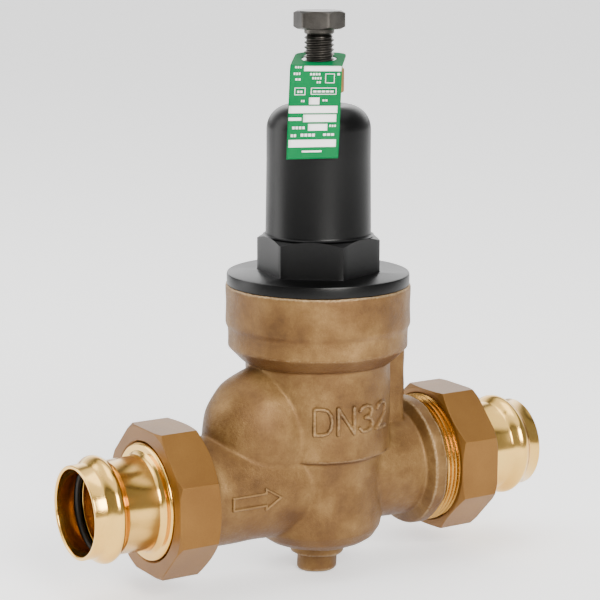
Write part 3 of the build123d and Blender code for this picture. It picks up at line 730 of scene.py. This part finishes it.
# spring cage
cage = {
    "skirtLow": 69.9, "skirt": 34.3, "skirtIn": 30.5, "seat": 82.5, "flange": 38.2, "flangeTop": 87.45,
    "hexCorner": 26.0, "hexTop": 103.0, "hexTurn": 21.2, "hexCone": 22.4,
    "low": 22.0, "high": 21.6, "top": 157.0, "fillet": 10.0, "in": 18.3, "roof": 145.0,
    "boss": 9.0, "bossTop": 161.8, "hole": 6.75, "pocketTop": 155.0, "pocket": 9.525, "footRound": 1.2,
}


def springCage(c):
    # from the skirt's inner edge up the outside, over the dome and the boss, and back down the inside
    turn = radians(c["hexTurn"])
    angle = turn + np.linspace(0, fullTurn, 6 * 20 + 1)[:-1]
    wall = prismRadius(angle, 6, c["hexCorner"] * cos(pi / 6), turn)
    wall = np.minimum(wall, c["hexCorner"] - 0.25)
    pocket = prismRadius(angle, 6, c["pocket"], turn)
    arc = np.linspace(0, pi / 2, 13)
    f, g = c["fillet"], c["footRound"]
    dome = [(c["top"] - f * (1 - sin(t)), c["high"] - f * (1 - cos(t))) for t in arc]
    foot = [(c["hexTop"] + g * (1 - sin(t)), c["low"] + g * (1 - cos(t))) for t in arc[::-3]]
    skirtLow, skirt, seat, flange, flangeTop = (
        c[k] for k in ("skirtLow", "skirt", "seat", "flange", "flangeTop"))
    rows = [
        (skirtLow, c["skirtIn"]), (skirtLow, skirt - 0.5), (skirtLow + 0.5, skirt), (seat, skirt),
        (seat, flange - 0.3), (seat + 0.3, flange), (flangeTop - 0.9, flange),
        (flangeTop - 0.25, flange - 0.25), (flangeTop, flange - 0.9),
        (flangeTop, wall + 0.7), (flangeTop + 0.2, wall + 0.2), (flangeTop + 0.7, wall),
        (c["hexTop"] - (wall - c["hexCone"]) * 0.6, wall), (c["hexTop"], c["hexCone"] + 0 * wall),
    ] + foot + [(c["top"] - 22, c["high"])] + dome + [
        (c["top"], c["boss"] + 0.6), (c["top"] + 0.2, c["boss"] + 0.15), (c["top"] + 0.7, c["boss"]),
        (c["bossTop"] - 0.4, c["boss"]), (c["bossTop"], c["boss"] - 0.4), (c["bossTop"], c["hole"]),
        (c["pocketTop"], c["hole"]), (c["pocketTop"], pocket), (c["roof"], pocket),
        (c["roof"], c["in"] - 3), (c["roof"] - 3, c["in"]), (seat + 1, c["in"]),
        (skirtLow + 6, c["skirtIn"]),
    ]
    prism("springCage", rows, angle, upright, "valve_body", "cage_plastic", ("spring_cage",))


springCage(cage)

# adjusting bolt and lock nut
bolt = {
    "crest": 6.2, "root": 5.3, "pitch": 1.954, "tip": 132.6, "threadTop": 185.7, "end": 4.9,
    "neck": 6.2, "neckStep": 0.6, "headLow": 187.9, "headTop": 195.3, "flats": 19.05, "headTurn": 19.9,
    "nutLow": 161.8, "nutTop": 172.6, "nutTurn": 10.0,
}


def hexHead(low, high, flats, turn, cone, hole=0.0):
    # a hexagon with its corners turned down by a cone of about 30 degrees at either end and cut by a
    # cylinder 1.13 times as wide as the flats, as rows and angles
    angle = radians(turn) + np.linspace(0, fullTurn, 6 * 16 + 1)[:-1]
    wall = np.minimum(prismRadius(angle, 6, flats / 2, radians(turn)), flats / 2 * 1.13)
    rise = (wall - cone) * 0.58
    rows = [(low, hole), (low, cone), (low + rise, wall), (high - rise, wall), (high, cone), (high, hole)]
    return rows, angle


def adjustingBolt(b):
    # a threaded shank with a plain neck, and the head as a second closed shell that its neck runs into
    along, radius, angle = threadGrid(b["tip"], b["threadTop"], b["crest"], b["root"], b["pitch"], b["end"])
    row, hidden = 0 * along[:1], b["headLow"] + 0.5
    neck = [
        (b["threadTop"], b["end"]), (b["threadTop"], b["neck"] - b["neckStep"]),
        (b["threadTop"] + b["neckStep"], b["neck"]), (hidden, b["neck"]), (hidden, 0),
    ]
    along = np.vstack([row + b["tip"], along] + [row + a for a, _ in neck])
    radius = np.vstack([row, radius] + [row + r for _, r in neck])
    angle = np.vstack([angle[:1], angle] + [angle[:1]] * len(neck))
    shank = upright(along, radius, angle).reshape(-1, 3)
    shankFaces = gridFaces(*along.shape)
    rows, turn = hexHead(b["headLow"], b["headTop"], b["flats"], b["headTurn"], b["flats"] / 2 - 0.35)
    headAlong, headRadius = prismRows(rows, turn)
    head = upright(headAlong, headRadius, turn[None, :] + 0 * headRadius).reshape(-1, 3)
    headFaces = gridFaces(len(rows), len(turn), True, True) + len(shank)
    points, faces = np.vstack([shank, head]), np.vstack([shankFaces, headFaces])
    newPiece("adjustingBolt", points, faces, "adjusting_bolt", "bolt_steel", ("adjusting_bolt",), 30)


def lockNut(b):
    # a hexagon like the head's, with a hole just clear of the thread
    cone, hole = b["flats"] / 2 - 0.2, b["crest"] + 0.2
    rows, turn = hexHead(b["nutLow"], b["nutTop"], b["flats"], b["nutTurn"], cone, hole)
    nut = prism("lockNut", rows, turn, upright, "lock_nut", "lock_nut_brass", ("lock_nut",))
    softenEdges(nut, 0.25)


adjustingBolt(bolt)
lockNut(bolt)
print("cage, bolt and lock nut done")

# raised marks on the casting
sizeMark = {
    "text": "DN32", "height": 10.8, "stroke": 0.9, "relief": 1.0, "sunk": 0.35, "wearAndSheen": 0.1,
    "around": 30.45, "middle": -90.0, "low": 24.5, "gap": 2.6, "step": 0.22,
}
flowArrow = {"stroke": 0.6, "relief": 0.8, "wearAndSheen": -0.22, "sunk": 0.35, "around": 22.9, "step": 0.2}
letterWidth, letterHeight = 7.2, 13
letterStrokes = {  # corners of each character's line, across and up
    "D": [
        (0, 0), (0, 13), (3, 13), (5.4, 12.2), (6.8, 9.8), (7.2, 6.5), (6.8, 3.2), (5.4, 0.8), (3, 0), (0, 0),
    ],
    "N": [(0, 0), (0, 13), (7, 0), (7, 13)],
    "3": [
        (0.2, 11), (1.4, 12.6), (3.6, 13), (5.8, 12.3), (6.5, 10), (5.6, 7.8), (3, 7),
        (5.8, 6.2), (7, 3.8), (6.2, 1.2), (3.6, 0), (1.2, 0.4), (0, 2),
    ],
    "2": [(0.2, 10.4), (1.2, 12.3), (3.5, 13), (5.9, 12.3), (6.8, 10), (6, 7.4), (0, 0), (7, 0)],
}
arrowStrokes = [  # along and round the inlet leg
    (-54.2, 2.5), (-38.8, 2.5), (-38.8, 4.3), (-32.0, 0), (-38.8, -4.3), (-38.8, -2.5), (-54.2, -2.5),
    (-54.2, 2.5),
]


def strokeDistance(u, v, line):
    # distance from each point to the nearest straight run of a line
    ends = np.array(line, float)
    nearest = np.full(u.shape, 1e9)
    for (u0, v0), (u1, v1) in zip(ends[:-1], ends[1:]):
        du, dv = u1 - u0, v1 - v0
        share = np.clip(((u - u0) * du + (v - v0) * dv) / (du * du + dv * dv), 0, 1)
        nearest = np.minimum(nearest, np.hypot(u - u0 - du * share, v - v0 - dv * share))
    return nearest


def raised(distance, spec):
    # a rounded ridge: full relief on the line, down to below the skin a little way off it
    ridge = np.clip(1 - (distance / spec["stroke"]) ** 2, -0.6, 1)
    return np.where(ridge > 0, ridge ** 0.5 * spec["relief"], ridge * spec["sunk"] / 0.6)


def reliefPiece(name, u, v, height, place, backDepth, axes, spec):
    # a patch whose front carries the relief and whose back lies inside the metal, closed round its border
    shape = u.shape
    front, back = place(u, v, height), place(u, v, np.full(shape, -backDepth))
    points = np.concatenate([front.reshape(-1, 3), back.reshape(-1, 3)])
    count = shape[0] * shape[1]
    number = np.arange(count).reshape(shape)
    border = np.concatenate([number[0, :-1], number[:-1, -1], number[-1, :0:-1], number[:0:-1, 0]])
    nextOne = np.roll(border, -1)
    walls = np.stack([border, nextOne, nextOne + count, border + count], -1)
    faces = np.vstack([gridFaces(*shape), gridFaces(*shape) + count, walls])
    mark = newPiece(name, points, faces, "valve_body", "cast_bronze", (), 80)

    def exposure(p):
        # changes with the height above the cylinder that the mark stands on: a positive tilt gives the mark's
        # top the pale edge colour, wear and painted highlight; a negative one, as on the arrow, the painted
        # pale corner colour
        return np.clip(0.5 + spec["wearAndSheen"] * (np.hypot(*p.T[axes]) - spec["around"]) / spec["relief"], 0, 1)
    markSkin(mark, exposure)


def sizeMarkRelief(s):
    # u runs round the barrel, v up it, both a little past the letters
    text, pitch = s["text"], letterWidth + s["gap"]
    width = letterWidth * len(text) + s["gap"] * (len(text) - 1)
    u = np.arange(-1.6, width + 1.6, s["step"])
    u, v = np.meshgrid(u, np.arange(-1.4, s["height"] + 1.4, s["step"]))
    distance = np.full(u.shape, 1e9)
    for k, letter in enumerate(text):
        line = [(across, up * s["height"] / letterHeight) for across, up in letterStrokes[letter]]
        distance = np.minimum(distance, strokeDistance(u - k * pitch, v, line))

    def place(u, v, height):
        angle = radians(s["middle"]) + (u - width / 2) / s["around"]
        return upright(v + s["low"], s["around"] + height, angle)
    reliefPiece("sizeMark", u, v, raised(distance, s), place, 1.2, [0, 1], s)


def flowArrowRelief(s):
    # u runs along the inlet leg, v round it
    u, v = np.meshgrid(np.arange(-55.2, -30.9, s["step"]), np.arange(-5.4, 5.5, s["step"]))

    def place(u, v, height):
        angle, radius = v / s["around"], s["around"] + height
        return np.stack([u, -radius * np.cos(angle), radius * np.sin(angle)], -1)
    reliefPiece("flowArrow", u, v, raised(strokeDistance(u, v, arrowStrokes), s), place, 1.0, [1, 2], s)


sizeMarkRelief(sizeMark)
flowArrowRelief(flowArrow)

# adjusting spring, in two halves: its foot and its head
spring = {
    "low": 69.4, "high": 128.0, "around": 14.2, "wire": 2.6, "turns": 8.0,
    "closed": 0.9, "closedRise": 0.7, "clear": 0.1,
}


def halfSpring(s, name, first, last, replaces):
    # a circle of the wire's radius is carried along a helix and capped at both ends: each closed turn
    # rises by closedRise of that radius, and the open turns share the rest
    turn = np.linspace(first, last, int((last - first) * 40) + 1)
    flat = s["wire"] * s["closedRise"]
    rise = flat * np.minimum(turn, s["closed"]) + flat * np.maximum(turn - s["turns"] + s["closed"], 0)
    opened = np.clip((turn - s["closed"]) / (s["turns"] - 2 * s["closed"]), 0, 1)
    openRise = s["high"] - s["low"] - 2 * s["wire"] - 2 * flat * s["closed"] - 2 * s["clear"]
    height = s["low"] + s["wire"] + s["clear"] + rise + opened * openRise
    wire = np.concatenate([[0.001], 0 * turn + s["wire"], [0.001]])[:, None]
    turn, height = (np.concatenate([v[:1], v, v[-1:]])[:, None] for v in (turn, height))
    wheel = np.linspace(0, fullTurn, 17)[:-1]
    points = upright(height + wire * np.sin(wheel), s["around"] + wire * np.cos(wheel), turn * fullTurn)
    faces = gridFaces(len(turn), 16, False, True)
    coil = newPiece(name, points.reshape(-1, 3), faces, None, "spring_steel", replaces, 60)
    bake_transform(coil)


halfSpring(spring, "springFoot", 0, 4, ("adjusting_spring",))
halfSpring(spring, "springHead", 4, 8, ())

# diaphragm: its middle goes with the plug, its roll and rim stay
diaphragm = {
    "hole": 4.05, "plate": 21.5, "roll": 27.8, "rim": 34.2, "low": 64.2, "ledge": 66.2, "thick": 2.2,
    "rise": 3.2,
}


def diaphragmSheets(d):
    # the roll is a half wave between the plate and the rim, which lies higher; the middle is a flat disc
    t = np.linspace(0, 1, 17)
    across = d["plate"] + 0.6 + (d["roll"] - d["plate"] - 0.6) * t
    base = d["low"] + (d["ledge"] - d["low"]) * t + d["rise"] * np.sin(pi * t) ** 0.8
    under = [(d["low"], d["plate"] - 0.4)] + list(zip(base, across)) + [(d["ledge"], d["rim"])]
    over = [(a + d["thick"], r) for a, r in under[::-1]]
    turned("diaphragmRoll", np.array(under + over), upright, "valve_body", "black_rubber", ("diaphragm",))
    low, high, edge = d["low"] + 0.05, d["low"] + d["thick"] - 0.05, d["plate"] - 0.5
    disc = roundCorners([(low, d["hole"], 0), (low, edge, 0.3), (high, edge, 0.3), (high, d["hole"], 0)], 3)
    turned("diaphragmMiddle", disc, upright, "valve_plug", "black_rubber")


diaphragmSheets(diaphragm)
print("spring and diaphragm done")

# setting tag
tag = {
    "width": 21.1, "back": 11.4, "hole": 7.2, "height": 174.4, "bend": 13.0, "bendRound": 2.2,
    "length": 51.5, "topSlope": -8.5, "lean": 21.5, "facing": -37.5,
    "backTurn": -38.0, "boltTurn": -36.5, "bendTurn": -33.0, "endTurn": -20.0,
    "backCorner": 5.0, "bendGap": 2.5, "sheet": 0.5, "ink": 0.02, "inkLift": 0.03, "frameLine": 0.28,
}
printedBars = [  # across from and to, then along from and to
    (-4.8, 10.3, 12.8, 15.2), (-10.3, 9.3, 29.7, 32.7), (-4.4, 9.0, 33.3, 36.4), (-2.3, 1.9, 26.2, 29.1),
    (-10.3, -5.1, 34.5, 35.8), (-2.3, 5.5, 37.2, 40.0), (-10.0, 9.3, 43.7, 46.8), (-4.5, 3.6, 48.2, 48.9),
]
printedFrames = [(-8.3, -3.9, 22.1, 25.2), (-1.7, 8.6, 22.1, 25.0), (3.9, 7.7, 16.2, 20.2)]
printedMarks = [  # rows of short dashes: across from and to, along, tall, how many
    (-2.4, 2.1, 16.0, 0.9, 4), (-1.5, 2.6, 17.7, 0.9, 4), (0.4, 2.4, 19.4, 0.9, 2),
    (-8.6, -5.5, 13.0, 1.0, 3), (-9.0, -6.0, 15.8, 1.0, 3), (-8.3, -5.8, 18.2, 0.9, 2),
    (8.6, 10.0, 16.0, 0.9, 1), (-5.6, -3.9, 27.2, 0.9, 2), (3.0, 5.3, 27.0, 0.8, 2),
    (-8.8, -3.4, 38.2, 1.1, 4), (6.2, 9.2, 37.6, 0.9, 3), (-9.3, -6.8, 41.4, 1.1, 2),
    (-5.3, 0.8, 41.2, 1.2, 4), (3.8, 8.6, 41.2, 1.0, 3), (-0.9, 7.7, 23.3, 0.8, 5),
    (-7.3, -4.9, 23.4, 0.9, 2),
]


def tagCourse(t):
    # the tag's middle line from its side: its slope turns from nearly flat to steep in a short bend
    along = np.linspace(-t["back"] - 1, t["length"] + 1, 2400)
    share = np.clip((along - t["bend"]) / (t["bendRound"] * 1.6) + 0.5, 0, 1)
    share = share * share * (3 - 2 * share)
    slope = np.radians(-t["topSlope"] + share * (90 - t["lean"] + t["topSlope"]))
    gap = np.diff(along, prepend=along[0])
    forward = np.cumsum(np.cos(slope) * gap)
    drop = np.cumsum(np.sin(slope) * gap)
    start = np.interp(0, along, forward), np.interp(0, along, drop)
    places = [-t["back"], 0, t["bend"], t["length"]]
    turnAt = np.interp(along, places, [t[k] for k in ("backTurn", "boltTurn", "bendTurn", "endTurn")])
    return along, forward - start[0], t["height"] + 1.4 - (drop - start[1]), np.radians(turnAt), slope


def onTag(t, u, s, lift=0.0):
    # a point across (u) and along (s) the tag, moved to the bent, twisted sheet and lifted off it
    along, forward, height, turnAt, slope = tagCourse(t)
    f, z = np.interp(s, along, forward), np.interp(s, along, height)
    a, tilt = np.interp(s, along, turnAt), np.interp(s, along, slope)
    f, z = f + lift * np.sin(tilt), z + lift * np.cos(tilt)
    ahead = radians(t["facing"])
    facing = np.array([sin(ahead), -cos(ahead)])
    aside = np.stack([np.cos(a), np.sin(a)], -1)
    flat = facing * f[..., None] + aside * u[..., None]
    return np.concatenate([flat, z[..., None]], -1)


def settingTag(t):
    # the top leaf is a grid from the hole's circle to the leaf's border, the hanging leaf a plain grid
    half, perSide, rings = t["width"] / 2, 24, 14
    back, front = -t["back"], t["bend"] - t["bendGap"]
    aside = np.linspace(-half, half, perSide + 1)
    ahead = np.linspace(back, front, perSide + 1)
    flatU, flatS = 0 * aside[:-1], 0 * ahead[:-1]
    border = np.concatenate([
        np.stack([aside[:-1], flatU + back], -1), np.stack([flatS + half, ahead[:-1]], -1),
        np.stack([aside[:0:-1], flatU + front], -1), np.stack([flatS - half, ahead[:0:-1]], -1),
    ])
    cornerU, cornerS = half - t["backCorner"], back + t["backCorner"]
    off = border - np.stack([np.sign(border[:, 0]) * cornerU, 0 * border[:, 0] + cornerS], -1)
    inCorner = (np.abs(border[:, 0]) > cornerU) & (border[:, 1] < cornerS)
    size = np.maximum(np.linalg.norm(off, axis=1, keepdims=True), 1e-6)
    border = np.where(inCorner[:, None], border - off + off / size * t["backCorner"], border)
    direction = border / np.linalg.norm(border, axis=1, keepdims=True)
    blend = (np.linspace(0, 1, rings) ** 1.2)[:, None, None]
    top = direction[None] * t["hole"] * (1 - blend) + border[None] * blend
    u = np.linspace(-half, half, perSide + 1)
    past = t["bend"] + t["bendGap"]
    s = np.concatenate([np.linspace(front, past, 13)[:-1], np.linspace(past, t["length"], 40)])
    leafS, leafU = np.meshgrid(s, u, indexing="ij")
    flat = np.vstack([top.reshape(-1, 2), np.stack([leafU.ravel(), leafS.ravel()], -1)])
    points = onTag(t, flat[:, 0], flat[:, 1])
    topFaces = gridFaces(rings, 4 * perSide, False, True)
    faces = np.vstack([topFaces, gridFaces(len(s), perSide + 1) + rings * 4 * perSide])
    piece = newPiece("settingTag", points, faces, "setting_tag", "tag_green", ("setting_tag",), 60)
    if piece.data.polygons[0].normal.z < 0:
        piece.data.flip_normals()
    wall = piece.modifiers.new("sheet", "SOLIDIFY")
    wall.thickness, wall.offset = t["sheet"] * mm, -1


def bar(t, u0, u1, s0, s1):
    # one printed block: a small grid lying just off the tag
    u = np.linspace(u0, u1, max(2, int((u1 - u0) / 1.5) + 2))
    s = np.linspace(s0, s1, max(2, int((s1 - s0) / 0.8) + 2))
    s, u = np.meshgrid(s, u, indexing="ij")
    return onTag(t, u, s, t["inkLift"]).reshape(-1, 3), gridFaces(*u.shape)


def tagPrint(t):
    # plain bars, four thin bars round each frame, and rows of dashes with small gaps
    blocks, line = list(printedBars), t["frameLine"]
    for u0, u1, s0, s1 in printedFrames:
        blocks += [(u0, u1, s0, s0 + line), (u0, u1, s1 - line, s1)]
        blocks += [(u0, u0 + line, s0, s1), (u1 - line, u1, s0, s1)]
    for u0, u1, s, tall, count in printedMarks:
        edge = np.linspace(u0, u1, count + 1)
        blocks += [(a + 0.12, b - 0.22, s, s + tall) for a, b in zip(edge[:-1], edge[1:])]
    points, faces, total = [], [], 0
    for block in blocks:
        p, f = bar(t, *block)
        points.append(p)
        faces.append(f + total)
        total += len(p)
    piece = newPiece("tagPrint", np.vstack(points), np.vstack(faces), "setting_tag", "tag_green", (), 60)
    piece.data.materials[0] = moulded("tagInk", {}, (226, 222, 220), (236, 232, 230), 0.01, 0.4)
    wall = piece.modifiers.new("ink", "SOLIDIFY")
    wall.thickness, wall.offset = t["ink"] * mm, 0


settingTag(tag)
tagPrint(tag)
print("tag done")
